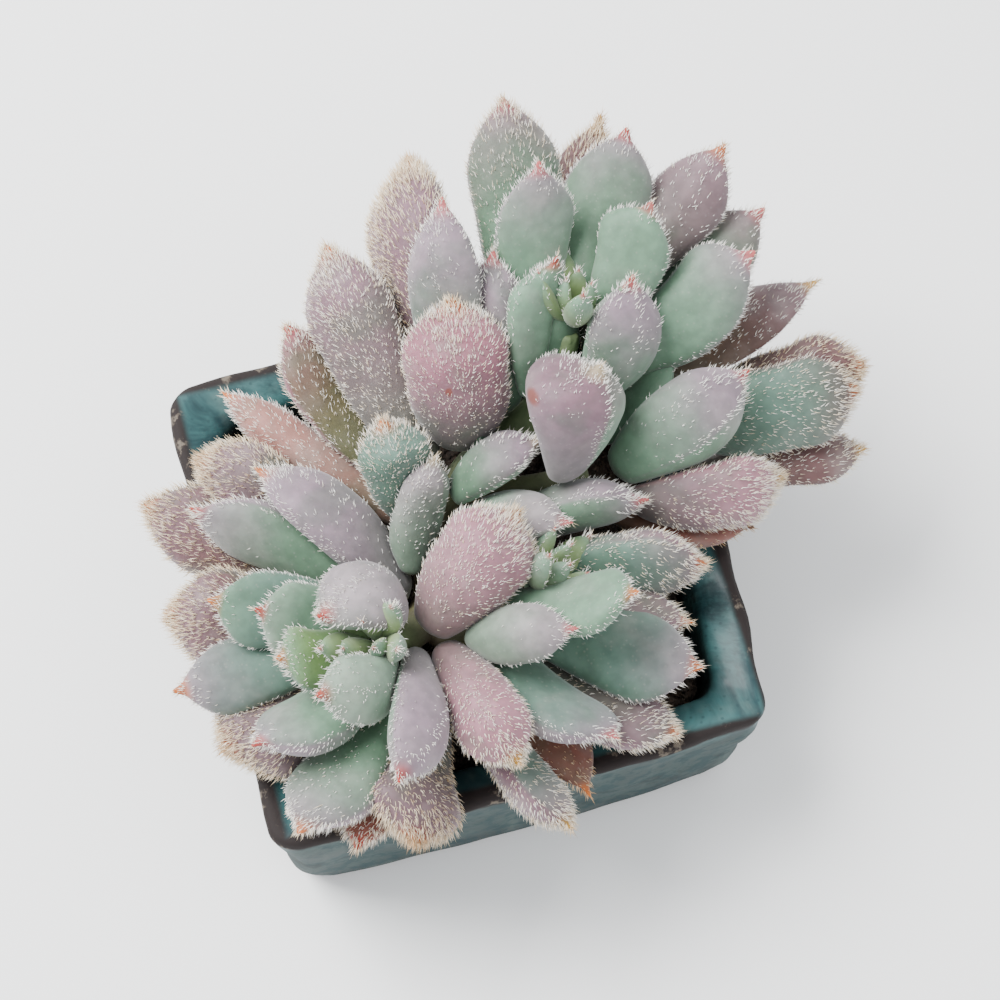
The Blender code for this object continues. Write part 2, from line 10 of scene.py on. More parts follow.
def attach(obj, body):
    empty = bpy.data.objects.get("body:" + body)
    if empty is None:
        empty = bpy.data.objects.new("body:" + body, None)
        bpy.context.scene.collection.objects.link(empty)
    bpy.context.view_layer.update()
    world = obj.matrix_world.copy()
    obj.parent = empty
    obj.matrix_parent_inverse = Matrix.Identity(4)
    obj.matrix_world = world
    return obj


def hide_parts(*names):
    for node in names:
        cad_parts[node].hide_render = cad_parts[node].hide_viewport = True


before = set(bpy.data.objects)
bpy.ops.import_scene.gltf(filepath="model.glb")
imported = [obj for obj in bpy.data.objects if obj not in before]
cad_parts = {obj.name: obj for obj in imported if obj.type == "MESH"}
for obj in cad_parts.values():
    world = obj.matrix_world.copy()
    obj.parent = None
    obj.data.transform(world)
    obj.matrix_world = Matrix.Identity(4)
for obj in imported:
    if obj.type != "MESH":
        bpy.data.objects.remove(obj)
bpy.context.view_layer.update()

mm = 0.001


def linear(colour):
    shares = np.array(colour, float) / 255
    return tuple(np.where(shares <= 0.04045, shares / 12.92, ((shares + 0.055) / 1.055) ** 2.4)) + (1.0,)


tone = {"dim": 0.43, "vivid": 1.32, "grey": (0.3, 0.5, 0.2)}


def skin(name):  # a palette colour made deeper and clearer for the bright light
    colour = np.array(linear(palette[name])[:3])
    grey = colour @ tone["grey"]
    return tuple(np.clip((grey + (colour - grey) * tone["vivid"]) * tone["dim"], 0.004, 0.95)) + (1.0,)


def unit(vector):
    vector = np.asarray(vector, float)
    return vector / np.maximum(np.linalg.norm(vector, axis=-1, keepdims=True), 1e-12)


def smooth(values, low, high):
    share = np.clip((values - low) / (high - low), 0, 1)
    return share * share * (3 - 2 * share)


class Signal:  # one shader value with arithmetic
    def __init__(self, tree, socket=None):
        self.tree = tree
        self.socket = socket

    def node(self, kind, settings, sockets, output=0):
        made = self.tree.nodes.new(kind)
        for name, value in settings.items():
            setattr(made, name, value)
        for name, value in sockets.items():
            if isinstance(value, Signal):
                self.tree.links.new(value.socket, made.inputs[name])
            elif value is not None:
                made.inputs[name].default_value = value
        return Signal(self.tree, made.outputs[output])

    def reckon(self, operation, *values):
        return self.node("ShaderNodeMath", {"operation": operation}, dict(enumerate(values)))

    def __add__(self, other):
        return self.reckon("ADD", self, other)

    def __radd__(self, other):
        return self.reckon("ADD", other, self)

    def __sub__(self, other):
        return self.reckon("SUBTRACT", self, other)

    def __rsub__(self, other):
        return self.reckon("SUBTRACT", other, self)

    def __mul__(self, other):
        return self.reckon("MULTIPLY", self, other)

    def __rmul__(self, other):
        return self.reckon("MULTIPLY", other, self)

    def atLeast(self, other):
        return self.reckon("MAXIMUM", self, other)

    def size(self):
        return self.reckon("ABSOLUTE", self)

    def between(self, low, high):  # smooth 0 to 1 as the value goes from low to high
        return self.node(
            "ShaderNodeMapRange",
            {"interpolation_type": "SMOOTHSTEP"},
            {"Value": self, "From Min": low, "From Max": high, "To Min": 0.0, "To Max": 1.0},
        )

    def mix(self, first, second, blend="MIX"):  # self is the factor
        return self.node(
            "ShaderNodeMix",
            {"data_type": "RGBA", "blend_type": blend, "clamp_factor": True},
            {0: self, 6: first, 7: second},
            output=2,
        )

    def noise(self, place, scale, detail=3.0, rough=0.5, warp=0.0):
        sockets = {"Vector": place, "Scale": scale, "Detail": detail, "Roughness": rough, "Distortion": warp}
        return self.node("ShaderNodeTexNoise", {}, sockets)

    def cells(self, place, scale):
        return self.node("ShaderNodeTexVoronoi", {}, {"Vector": place, "Scale": scale})


def newMaterial(name):
    made = bpy.data.materials.new(name)
    made.use_nodes = True
    tree = made.node_tree
    return made, Signal(tree), tree.nodes["Principled BSDF"]


def finishShader(start, shader, colour, rough, height=None, distance=0.0, strength=0.0):
    tree = start.tree
    if isinstance(colour, Signal):
        tree.links.new(colour.socket, shader.inputs["Base Color"])
    else:
        shader.inputs["Base Color"].default_value = colour
    if isinstance(rough, Signal):
        tree.links.new(rough.socket, shader.inputs["Roughness"])
    else:
        shader.inputs["Roughness"].default_value = rough
    if height is not None:
        sockets = {"Height": height, "Distance": distance, "Strength": strength}
        bump = start.node("ShaderNodeBump", {}, sockets)
        tree.links.new(bump.socket, shader.inputs["Normal"])


def objectPlace(start):
    return start.node("ShaderNodeTexCoord", {}, {}, output="Object")


def mapPlace(start, name):  # a place on a piece's own map, with its across and along values
    there = start.node("ShaderNodeUVMap", {"uv_map": name}, {})
    split = start.node("ShaderNodeSeparateXYZ", {}, {0: there})
    return there, split, Signal(start.tree, split.socket.node.outputs[1])


def addObject(name, made, material):
    mesh = bpy.data.meshes.new(name)
    made.to_mesh(mesh)
    made.free()
    mesh.polygons.foreach_set("use_smooth", [True] * len(mesh.polygons))
    piece = bpy.data.objects.new(name, mesh)
    bpy.context.scene.collection.objects.link(piece)
    mesh.materials.append(material)
    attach(piece, "root")
    return piece


def mergedCopy(name):  # the node's mesh with its corners joined
    made = bmesh.new()
    made.from_mesh(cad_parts[name].data)
    bmesh.ops.remove_doubles(made, verts=made.verts, dist=0.00002)
    bmesh.ops.recalc_face_normals(made, faces=made.faces)
    return made


print("camera and light")
view = {
    "compass": -15.0,
    "height": 68.0,
    "distance": 0.5,
    "target": (0.0, 0.0, 0.040),
    "lens": 92.7,
    "shiftX": 0.035,
    "shiftY": 0.050,
}


def placeCamera():
    turn, rise = math.radians(view["compass"]), math.radians(view["height"])
    away = Vector((math.sin(turn) * math.cos(rise), -math.cos(turn) * math.cos(rise), math.sin(rise)))
    data = bpy.data.cameras.new("camera")
    data.lens = view["lens"]
    data.sensor_width = 36.0
    data.shift_x = view["shiftX"]
    data.shift_y = view["shiftY"]
    data.clip_start = 0.01
    camera = bpy.data.objects.new("camera", data)
    bpy.context.scene.collection.objects.link(camera)
    camera.location = Vector(view["target"]) + away * view["distance"]
    camera.rotation_euler = (-away).to_track_quat("-Z", "Y").to_euler()
    bpy.context.scene.camera = camera


placeCamera()

light = {
    "keyPower": 26.0,
    "keySize": 0.6,
    "keyPlace": (-0.45, 0.35, 0.85),
    "fillPower": 4.0,
    "fillSize": 1.2,
    "fillPlace": (0.7, -0.5, 0.7),
    "sky": (0.93, 0.96, 1.0),
    "skyPower": 1.25,
    "floor": (248, 248, 247),
    "floorSize": 3.0,
    "floorDrop": 0.0003,
}


def areaLight(name, place, size, power):
    data = bpy.data.lights.new(name, "AREA")
    data.energy = power
    data.size = size
    lamp = bpy.data.objects.new(name, data)
    bpy.context.scene.collection.objects.link(lamp)
    lamp.location = place
    lamp.rotation_euler = Vector(place).to_track_quat("Z", "Y").to_euler()


areaLight("key", light["keyPlace"], light["keySize"], light["keyPower"])
areaLight("fill", light["fillPlace"], light["fillSize"], light["fillPower"])
world = bpy.data.worlds.new("sky")
world.use_nodes = True
world.node_tree.nodes["Background"].inputs["Color"].default_value = (*light["sky"], 1.0)
world.node_tree.nodes["Background"].inputs["Strength"].default_value = light["skyPower"]
bpy.context.scene.world = world


def buildFloor():
    made = bmesh.new()
    bmesh.ops.create_grid(made, x_segments=1, y_segments=1, size=light["floorSize"])
    bmesh.ops.translate(made, vec=(0, 0, -light["floorDrop"]), verts=made.verts)
    mesh = bpy.data.meshes.new("floor")
    made.to_mesh(mesh)
    made.free()
    floor = bpy.data.objects.new("floor", mesh)
    bpy.context.scene.collection.objects.link(floor)
    material, start, shader = newMaterial("floor")
    finishShader(start, shader, linear(light["floor"]), 0.9)
    mesh.materials.append(material)


buildFloor()

palette = {
    "mint": (160, 194, 168),
    "sage": (140, 172, 146),
    "deepSage": (104, 136, 110),
    "blueSage": (136, 166, 152),
    "youngGreen": (152, 184, 120),
    "heartGreen": (184, 206, 150),
    "paleMint": (190, 208, 190),
    "lavender": (192, 172, 184),
    "paleLavender": (210, 198, 202),
    "mauve": (170, 136, 148),
    "greyMauve": (148, 132, 132),
    "brownMauve": (138, 104, 104),
    "pink": (212, 162, 174),
    "rose": (200, 142, 156),
    "peach": (214, 162, 152),
    "brown": (128, 98, 84),
    "redBrown": (156, 96, 84),
    "olive": (130, 122, 90),
    "bloom": (234, 230, 224),
    "scar": (150, 80, 66),
    "pinkTip": (238, 138, 136),
    "redTip": (218, 96, 86),
    "orangeTip": (246, 150, 92),
    "yellowTip": (250, 204, 120),
    "creamTip": (240, 222, 190),
    "hairWhite": (250, 247, 240),
    "hairCream": (236, 218, 188),
    "hairTan": (204, 164, 118),
}

# the points above the three heads and the low side branch that leaves look towards, millimetres
crowns = {"a": (30, 30, 85), "b": (-25, -23, 75), "c": (15, -17, 69), "d": (36, 4, 62)}

# hair: amount on the upper face, back, margins, keel and tip, length in millimetres, cream share
hairStyles = {
    "edges": (0.0, 0.04, 1.9, 0.3, 1.1, 1.35, 0.1),
    "keel": (0.01, 0.08, 1.9, 1.5, 1.3, 1.45, 0.1),
    "soft": (0.22, 0.42, 1.8, 0.9, 1.5, 1.45, 0.2),
    "furry": (0.50, 0.85, 1.7, 1.2, 1.9, 1.7, 0.36),
    "shaggy": (0.95, 1.1, 1.6, 1.2, 2.1, 2.1, 0.58),
    "dry": (0.25, 0.35, 0.7, 0.3, 0.9, 1.3, 0.8),
}

# leaf: crown, compass, rise, roll, upper face, back at the base, back at the tip, tip, hair
leaves = {
    "a01": ("a", 92, 20, -80, "greyMauve", "mauve", "mauve", "orangeTip", "shaggy"),
    "a02": ("a", 86, 43, -90, "blueSage", "mint", "lavender", "pinkTip", "keel"),
    "a03": ("a", 85, 20, 20, "sage", "sage", "mauve", "pinkTip", "furry"),
    "a05": ("a", 77, 45, 30, "mint", "mint", "lavender", "pinkTip", "keel"),
    "a06": ("a", 57, 28, 0, "sage", "sage", "lavender", "redTip", "edges"),
    "a07": ("a", 36, 21, -20, "greyMauve", "sage", "mauve", "orangeTip", "soft"),
    "a08": ("a", 40, 36, -20, "mint", "mint", "mint", "pinkTip", "edges"),
    "a09": ("a", 23, 14, -30, "sage", "sage", "mauve", "pinkTip", "edges"),
    "a10": ("a", 13, 23, -40, "mint", "mint", "lavender", "pinkTip", "edges"),
    "a12": ("d", 354, 14, 0, "brownMauve", "greyMauve", "brownMauve", "orangeTip", "shaggy"),
    "a13": ("d", 357, 7, -20, "blueSage", "blueSage", "brownMauve", "orangeTip", "furry"),
    "a14": ("d", 355, 0, 0, "brownMauve", "brownMauve", "brownMauve", "yellowTip", "furry"),
    "a15": ("a", 17, 23, 150, "mint", "mint", "lavender", "redTip", "keel"),
    "a16": ("a", 49, 53, 80, "mint", "mint", "lavender", "redTip", "keel"),
    "a17": ("a", 40, 55, 80, "mint", "lavender", "mauve", "creamTip", "edges"),
    "a18": ("d", 351, 8, 80, "rose", "mauve", "pink", "yellowTip", "furry"),
    "a19": ("d", 335, 0, 0, "redBrown", "redBrown", "redBrown", "brown", "dry"),
    "a20": ("a", 65, 44, 0, "mint", "mint", "mint", "redTip", "keel"),
    "a22": ("a", 79, 47, -100, "mint", "mint", "lavender", "pinkTip", "keel"),
    "a23": ("a", 81, 52, -100, "rose", "mauve", "rose", "orangeTip", "furry"),
    "a24": ("a", 102, 27, -90, "mauve", "greyMauve", "mauve", "orangeTip", "furry"),
    "a25": ("a", 116, 23, 30, "olive", "rose", "rose", "redTip", "furry"),
    "a26": ("a", 131, 10, -100, "peach", "peach", "peach", "orangeTip", "soft"),
    "b00": ("b", 142, 10, -80, "greyMauve", "brownMauve", "mauve", "orangeTip", "shaggy"),
    "b01": ("b", 140, 1, 0, "brownMauve", "greyMauve", "mauve", "orangeTip", "shaggy"),
    "b02": ("b", 139, 12, 40, "sage", "sage", "lavender", "redTip", "keel"),
    "b03": ("b", 130, 26, 110, "lavender", "lavender", "lavender", "orangeTip", "keel"),
    "b04": ("b", 161, 1, 0, "brownMauve", "brownMauve", "mauve", "orangeTip", "shaggy"),
    "b05": ("b", 158, 15, 0, "blueSage", "sage", "mint", "orangeTip", "edges"),
    "b06": ("b", 161, 28, 0, "mint", "mint", "paleMint", "redTip", "edges"),
    "b07": ("b", 184, 52, 120, "mint", "lavender", "paleLavender", "redTip", "keel"),
    "b08": ("b", 182, 22, 0, "youngGreen", "mint", "mint", "orangeTip", "soft"),
    "b10": ("b", 181, 5, 0, "blueSage", "blueSage", "lavender", "orangeTip", "edges"),
    "b11": ("b", 201, 43, -120, "paleMint", "mint", "paleMint", "redTip", "keel"),
    "b12": ("b", 206, 13, -40, "mint", "mint", "lavender", "redTip", "edges"),
    "b13": ("b", 199, 0, 0, "greyMauve", "mauve", "mauve", "orangeTip", "shaggy"),
    "b14": ("b", 228, 5, -20, "sage", "mint", "lavender", "orangeTip", "soft"),
    "b15": ("b", 250, 30, -100, "mint", "lavender", "lavender", "redTip", "keel"),
    "b16": ("c", 250, 6, 0, "greyMauve", "mauve", "mauve", "orangeTip", "shaggy"),
    "b17": ("c", 240, 0, 0, "redBrown", "redBrown", "redBrown", "redTip", "furry"),
    "c01": ("a", 59, 40, -50, "paleMint", "paleMint", "paleLavender", "creamTip", "soft"),
    "c02": ("a", 101, 53, -90, "blueSage", "blueSage", "blueSage", "orangeTip", "furry"),
    "c03": ("a", 9, 30, 150, "mint", "sage", "lavender", "creamTip", "keel"),
    "c04": ("a", 335, 26, 150, "paleMint", "mint", "paleLavender", "pinkTip", "edges"),
    "c05": ("c", 352, 21, -60, "sage", "sage", "lavender", "pinkTip", "keel"),
    "c06": ("c", 350, 8, -70, "blueSage", "blueSage", "mauve", "orangeTip", "furry"),
    "c07": ("c", 335, 29, -30, "mint", "mint", "mint", "orangeTip", "edges"),
    "c08": ("c", 340, 30, 90, "paleMint", "paleMint", "paleLavender", "pinkTip", "edges"),
    "c10": ("c", 333, 1, -30, "blueSage", "blueSage", "lavender", "orangeTip", "edges"),
    "c11": ("c", 301, 10, 0, "blueSage", "mint", "lavender", "pinkTip", "edges"),
    "c12": ("c", 320, -3, 0, "greyMauve", "mauve", "mauve", "orangeTip", "furry"),
    "c13": ("c", 286, 3, 20, "blueSage", "mauve", "mauve", "yellowTip", "furry"),
    "c16": ("c", 34, 28, -110, "mauve", "pink", "pink", "orangeTip", "furry"),
    "c17": ("c", 284, 16, 110, "rose", "pink", "pink", "yellowTip", "furry"),
}

# how much fuller the last part of a leaf is than in its solid, where its hair rounds it
bluntTips = {"shaggy": 0.85, "furry": 0.5, "soft": 0.3}
bareTip = 0.15

# small brown scars: across and along the leaf, and size
scars = {"a17": (0.72, 0.62, 0.05), "a23": (0.70, 0.55, 0.025)}

leafForm = {
    "around": 32,
    "rings": 40,
    "smoothings": 3,
    "margin": 0.05,
    "rayLength": 0.05,
    "fuller": (0.55, 0.95),
    "point": (0.975, 1.0),
    "tipLength": 1.7,
}

hair = {
    "perSquare": 2.3,
    "thick": 0.092,
    "most": 16000,
    "rise": 0.75,
    "lean": 0.75,
    "sunk": 0.25,
    "spikeFoot": 0.2,
    "spikeNeck": 0.14,
    "neckHeight": 0.55,
}


def leafFrame(direction, middle, crown, roll):  # across and upper ways of a leaf that looks to its crown
    toCrown = np.array(crown, float) - middle
    upper = unit(toCrown - direction * (toCrown @ direction))
    across = np.cross(upper, direction)
    turn = math.radians(roll)
    return (
        across * math.cos(turn) - upper * math.sin(turn),
        upper * math.cos(turn) + across * math.sin(turn),
    )


def wayOf(compass, rise):
    turn, lift = math.radians(compass), math.radians(rise)
    return np.array((math.cos(turn) * math.cos(lift), math.sin(turn) * math.cos(lift), math.sin(lift)))


def middleLine(points, base, axis, steps):  # a smooth line through the middle of the body, from base to tip
    length = np.linalg.norm(axis)
    share = np.clip((points - base) @ axis / length**2, 0, 1)
    away = points - base - np.outer(share, axis)
    bend = share * (1 - share)
    held = np.stack([bend, bend * share, bend * share**2], axis=1)
    curve = np.linalg.lstsq(held, away, rcond=None)[0]
    arch = steps * (1 - steps)
    return base + np.outer(steps, axis) + np.stack([arch, arch * steps, arch * steps**2], axis=1) @ curve


# rings by turns of points on the node's surface, in millimetres
def leafGrid(name, crown, compass, rise, roll, blunt):
    made = mergedCopy(name)
    points = np.array([vert.co[:] for vert in made.verts]) / mm
    tree = BVHTree.FromBMesh(made)
    made.free()
    reach = points @ wayOf(compass, rise)
    base, tip = points[reach.argmin()], points[reach.argmax()]
    axis = tip - base
    across, upper = leafFrame(unit(axis), (base + tip) / 2, crowns[crown], roll)
    rings, around = leafForm["rings"], leafForm["around"]
    steps = 0.5 - 0.5 * np.cos(np.pi * np.arange(rings + 1) / rings)
    centres = middleLine(points, base, axis, steps)
    turns = 2 * np.pi * np.arange(around) / around
    outward = np.outer(np.cos(turns), across) + np.outer(np.sin(turns), upper)
    radii = np.zeros((rings + 1, around))
    for ring in range(1, rings):
        start = Vector(centres[ring] * mm)
        for turn in range(around):
            found = tree.ray_cast(start, Vector(outward[turn]), leafForm["rayLength"])
            radii[ring, turn] = found[3] / mm if found[3] is not None else np.nan
        row = radii[ring]
        row[np.isnan(row)] = np.nanmean(row) if not np.isnan(row).all() else 0.0
    for _ in range(leafForm["smoothings"]):
        radii = (np.roll(radii, 1, axis=1) + 2 * radii + np.roll(radii, -1, axis=1)) / 4
        radii[1:-1] = (radii[:-2] + 2 * radii[1:-1] + radii[2:]) / 4
    radii *= 1 + leafForm["margin"] * np.abs(np.cos(turns)) ** 10
    radii *= 1 + blunt * smooth(steps, *leafForm["fuller"])[:, None]
    grid = centres[:, None] + radii[..., None] * outward[None]
    point = smooth(steps, *leafForm["point"])[:, None, None]
    return grid + point * unit(axis) * leafForm["tipLength"] * (1 - blunt)


def leafMesh(grid):  # a closed ball whose rings follow the grid
    rings, around = grid.shape[0] - 1, grid.shape[1]
    made = bmesh.new()
    layer = made.loops.layers.uv.new("leaf")
    bmesh.ops.create_uvsphere(made, u_segments=around, v_segments=rings, radius=1.0)
    for vert in made.verts:
        fall = math.acos(max(-1.0, min(1.0, -vert.co.z)))
        ring = round(fall / math.pi * rings)
        turn = round(math.atan2(vert.co.y, vert.co.x) / (2 * math.pi) * around) % around
        vert.co = Vector(grid[ring, turn if 0 < ring < rings else 0] * mm)
        vert.index = ring * around + turn
    for face in made.faces:
        places = [(loop.vert.index // around, loop.vert.index % around) for loop in face.loops]
        turns = [turn for ring, turn in places if 0 < ring < rings]
        wraps = max(turns) > around * 0.75
        middle = np.mean([turn + (around if wraps and turn < around / 2 else 0) for turn in turns])
        for loop, (ring, turn) in zip(face.loops, places):
            if not 0 < ring < rings:
                turn = middle
            elif wraps and turn < around / 2:
                turn += around
            loop[layer].uv = (turn / around, ring / rings)
    bmesh.ops.recalc_face_normals(made, faces=made.faces)
    return made


def leafMaterial(name, upper, back, far, tip, seed, scar=None):
    material, start, shader = newMaterial(name)
    there, across, along = mapPlace(start, "leaf")
    place = objectPlace(start)
    broad = start.noise(place, 70.0 + seed % 5 * 6, 3.0, 0.55)
    fine = start.noise(place, 420.0, 2.0, 0.5)
    side = start.reckon("SINE", across * (2 * math.pi))
    wobble = (broad - 0.5) * 0.5
    upperShare = (side + wobble * 0.7).between(-0.05, 0.14)  # 1 on the upper face, 0 on the back
    farShare = (along + wobble * 0.7).between(0.30, 0.80)
    green = farShare.mix(skin(back), skin(far))
    face = (along + wobble * 0.5).between(0.50, 1.0).mix(skin(upper), skin(far))
    colour = upperShare.mix(green, face)
    edge = (1.0 - side.size()).between(0.90, 1.0) * 0.30
    colour = edge.mix(colour, skin(far))
    pale = broad.between(0.50, 0.78) * 0.30  # patches of waxy bloom
    colour = pale.mix(colour, skin("bloom"))
    dark = (1.0 - broad).between(0.50, 0.70) * 0.36  # patches where the bloom is rubbed off
    colour = dark.mix(colour, skin("deepSage"))
    shade = (1.0 - along + wobble * 0.3).between(0.30, 0.85) * 0.42  # painted shade and real colour: darker and greener towards the base, where the leaves crowd
    colour = shade.mix(colour, skin("deepSage"))
    base = (1.0 - along).between(0.84, 1.0) * 0.45
    colour = base.mix(colour, skin("youngGreen"))
    blush = (along + wobble * 0.10).between(0.83, 0.955)  # the coloured tip
    colour = (blush * 0.95).mix(colour, skin(tip))
    specks = start.cells(place, 900.0).between(0.0, 0.32)
    colour = ((1.0 - specks) * 0.22).mix(colour, skin("bloom"))
    colour = (fine.between(0.3, 0.7) * 0.26).mix(colour, linear((120, 128, 124)), "MULTIPLY")
    if scar:
        sockets = {0: there, 1: (*scar[:2], 0.0)}
        spot = start.node("ShaderNodeVectorMath", {"operation": "DISTANCE"}, sockets, output=1)
        mark = (spot + (fine - 0.5) * 0.03).between(scar[2], scar[2] * 0.4)
        colour = (mark * 0.8).mix(colour, skin("scar"))
    rough = broad * 0.14 + fine * 0.10 + 0.46
    height = broad * 0.5 + fine * 0.35 + specks * -0.10
    finishShader(start, shader, colour, rough, height, 0.0005, 0.45)
    shader.inputs["Subsurface Weight"].default_value = 0.18
    shader.inputs["Subsurface Radius"].default_value = (1.0, 0.8, 0.6)
    shader.inputs["Subsurface Scale"].default_value = 0.002
    shader.inputs["Sheen Weight"].default_value = 0.25
    shader.inputs["Sheen Roughness"].default_value = 0.5
    shader.inputs["Specular IOR Level"].default_value = 0.35
    return material


class HairBook:  # roots, ways and sizes of the hairs of one head
    def __init__(self):
        self.rows = []

    def add(self, root, normal, onward, length, thick, creamShare):
        self.rows.append((root, normal, onward, length, thick, creamShare))

    def joined(self):
        return [np.concatenate([row[part] for row in self.rows]) for part in range(6)]


hairBooks = {key: HairBook() for key in ("a", "b", "c")}


def growHairs(book, grid, style, random, amount=1.0):
    upper, back, margin, keel, tip, length, cream = hairStyles[style]
    rings, around = grid.shape[0] - 1, grid.shape[1]
    closed = np.concatenate([grid, grid[:, :1]], axis=1)
    spanA = closed[1:, :-1] - closed[:-1, :-1]
    spanB = closed[:-1, 1:] - closed[:-1, :-1]
    spanC = closed[1:, 1:] - closed[:-1, 1:]
    area = np.linalg.norm(np.cross(spanA, spanB), axis=-1) + np.linalg.norm(np.cross(spanC, spanB), axis=-1)
    ringPlace = (np.arange(rings) + 0.5) / rings
    along = ringPlace[:, None]
    turns = (np.arange(around) + 0.5) / around * 2 * np.pi
    side = np.sin(turns)[None]
    total = upper * np.clip(side, 0, 1) ** 0.4 * (side > 0) + back * np.clip(-side, 0, 1) ** 0.4 * (side < 0)
    total = total * smooth(along, 0.16, 0.5)  # few hairs near the base
    total = total + margin * np.exp(-((side / 0.10) ** 2)) * smooth(along, 0.2, 0.55)
    keelLine = np.exp(-(((turns[None] - 1.5 * np.pi) / 0.12) ** 2))  # the ridge along the back
    total = total + keel * keelLine * smooth(along, 0.35, 0.7)
    total = total + tip * smooth(along, 0.72, 0.97)
    expected = area / 2 * total * hair["perSquare"] * amount
    count = random.poisson(expected)
    ringIndex, turnIndex = np.nonzero(count)
    repeats = count[ringIndex, turnIndex]
    ringIndex, turnIndex = np.repeat(ringIndex, repeats), np.repeat(turnIndex, repeats)
    number = len(ringIndex)
    if not number:
        return
    u, v = random.random((2, number, 1))
    p00, p01 = closed[ringIndex, turnIndex], closed[ringIndex, turnIndex + 1]
    p10, p11 = closed[ringIndex + 1, turnIndex], closed[ringIndex + 1, turnIndex + 1]
    root = (p00 * (1 - u) + p01 * u) * (1 - v) + (p10 * (1 - u) + p11 * u) * v
    across = (p01 - p00) * (1 - v) + (p11 - p10) * v
    onward = (p10 - p00) * (1 - u) + (p11 - p01) * u
    axis = unit(grid[-1, 0] - grid[0, 0])
    onward = unit(unit(onward) * 0.6 + axis * 0.5)
    normal = unit(np.cross(across, onward))
    centre = grid.mean(axis=1)[ringIndex]
    normal *= np.sign(np.sum(normal * (root - centre), axis=1, keepdims=True))
    jitter = random.normal(0, 0.22, (2, number, 3))
    grown = 0.75 + 0.35 * smooth(ringPlace[ringIndex], 0.5, 0.95)
    size = length * random.uniform(0.6, 1.15, number) * grown
    thick = hair["thick"] * random.uniform(0.75, 1.2, number)
    creamShare = cream + random.normal(0, 0.12, number) + 0.4 * smooth(ringPlace[ringIndex], 0.85, 1.0)
    creamShare = np.clip(creamShare, 0.02, 0.98)
    book.add(root, unit(normal + jitter[0]), unit(onward + jitter[1]), size, thick, creamShare)


def buildLeaves():
    for index, (key, row) in enumerate(leaves.items()):
        crown, compass, rise, roll, upper, back, far, tip, style = row
        node = f"leaf_{key}"
        grid = leafGrid(node, crown, compass, rise, roll, bluntTips.get(style, bareTip))
        material = leafMaterial(f"{node}_skin", upper, back, far, tip, index, scars.get(key))
        piece = addObject(f"{node}_skin", leafMesh(grid), material)
        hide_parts(node)
        growHairs(hairBooks[key[0]], grid, style, np.random.default_rng(100 + index))


def hairMaterial():
    material, start, shader = newMaterial("hair")
    _, across, along = mapPlace(start, "OFBake")
    colour = across.between(0.15, 0.6).mix(linear(palette["hairWhite"]), linear(palette["hairCream"]))
    colour = across.between(0.55, 1.0).mix(colour, linear(palette["hairTan"]))
    rough = along * 0.1 + 0.5
    finishShader(start, shader, colour, rough)
    shader.inputs["Specular IOR Level"].default_value = 0.3
    return material


def hairPatch(number):  # many copies of one three-sided spike, 1 tall, each a step further along X
    made = bmesh.new()
    foot, neck, high = hair["spikeFoot"], hair["spikeNeck"], hair["neckHeight"]
    bmesh.ops.create_cone(made, cap_ends=True, segments=3, radius1=foot, radius2=neck, depth=high)
    bmesh.ops.translate(made, vec=(0, 0, high / 2), verts=made.verts)
    top = [face for face in made.faces if all(vert.co.z > high * 0.9 for vert in face.verts)]
    crest = bmesh.ops.poke(made, faces=top)["verts"]
    bmesh.ops.translate(made, vec=(0, 0, 1 - high), verts=crest)
    step = 1
    while step < number:
        copied = bmesh.ops.duplicate(made, geom=made.verts[:] + made.edges[:] + made.faces[:])["geom"]
        fresh = [part for part in copied if isinstance(part, bmesh.types.BMVert)]
        bmesh.ops.translate(made, vec=(step, 0, 0), verts=fresh)
        step *= 2
    spare = [vert for vert in made.verts if vert.co.x > number - 0.5]
    bmesh.ops.delete(made, geom=spare, context="VERTS")
    return made


def buildHairs(key, material):
    whole = hairBooks[key].joined()
    order = np.random.default_rng(5).permutation(len(whole[0]))
    parts = math.ceil(len(order) / hair["most"])
    print(f"hairs {key}: {len(order)}")
    for number, chosen in enumerate(np.array_split(order, parts)):
        placeHairs(f"hairs_{key}_{number}", [column[chosen] for column in whole], material)


def placeHairs(name, columns, material):  # stands each spike on its root and bends it along the leaf
    root, normal, onward, size, thick, creamShare = columns
    made = hairPatch(len(root))
    made.loops.layers.uv.new("OFBake")
    piece = addObject(name, made, material)
    mesh = piece.data
    count = len(mesh.vertices)
    local = np.empty(count * 3, np.float32)
    mesh.vertices.foreach_get("co", local)
    local = local.reshape(-1, 3).astype(float)
    which = np.clip(np.floor(local[:, 0] + 0.5).astype(int), 0, len(root) - 1)
    height = np.clip(local[:, 2], 0, 1)
    wide = np.hypot(local[:, 0] - which, local[:, 1]) / hair["spikeFoot"]
    angle = np.arctan2(local[:, 1], local[:, 0] - which)
    normal, onward = normal[which], onward[which]
    rise = height * hair["rise"]
    lean = height**1.6 * hair["lean"]
    spine = (normal * rise[:, None] + onward * lean[:, None]) * size[which, None]
    spine += root[which] - normal * hair["sunk"]
    first = unit(np.cross(normal + onward, (0.31, 0.77, 0.55)))
    second = unit(np.cross(normal + onward, first))
    ring = first * np.cos(angle)[:, None] + second * np.sin(angle)[:, None]
    placed = spine + ring * (wide * thick[which])[:, None]
    mesh.vertices.foreach_set("co", (placed * mm).astype(np.float32).ravel())
    corner = np.empty(len(mesh.loops), np.int32)
    mesh.loops.foreach_get("vertex_index", corner)
    spots = np.stack([creamShare[which][corner], 0.02 + 0.96 * height[corner]], axis=1)
    mesh.uv_layers["OFBake"].data.foreach_set("uv", spots.astype(np.float32).ravel())
    mesh.update()


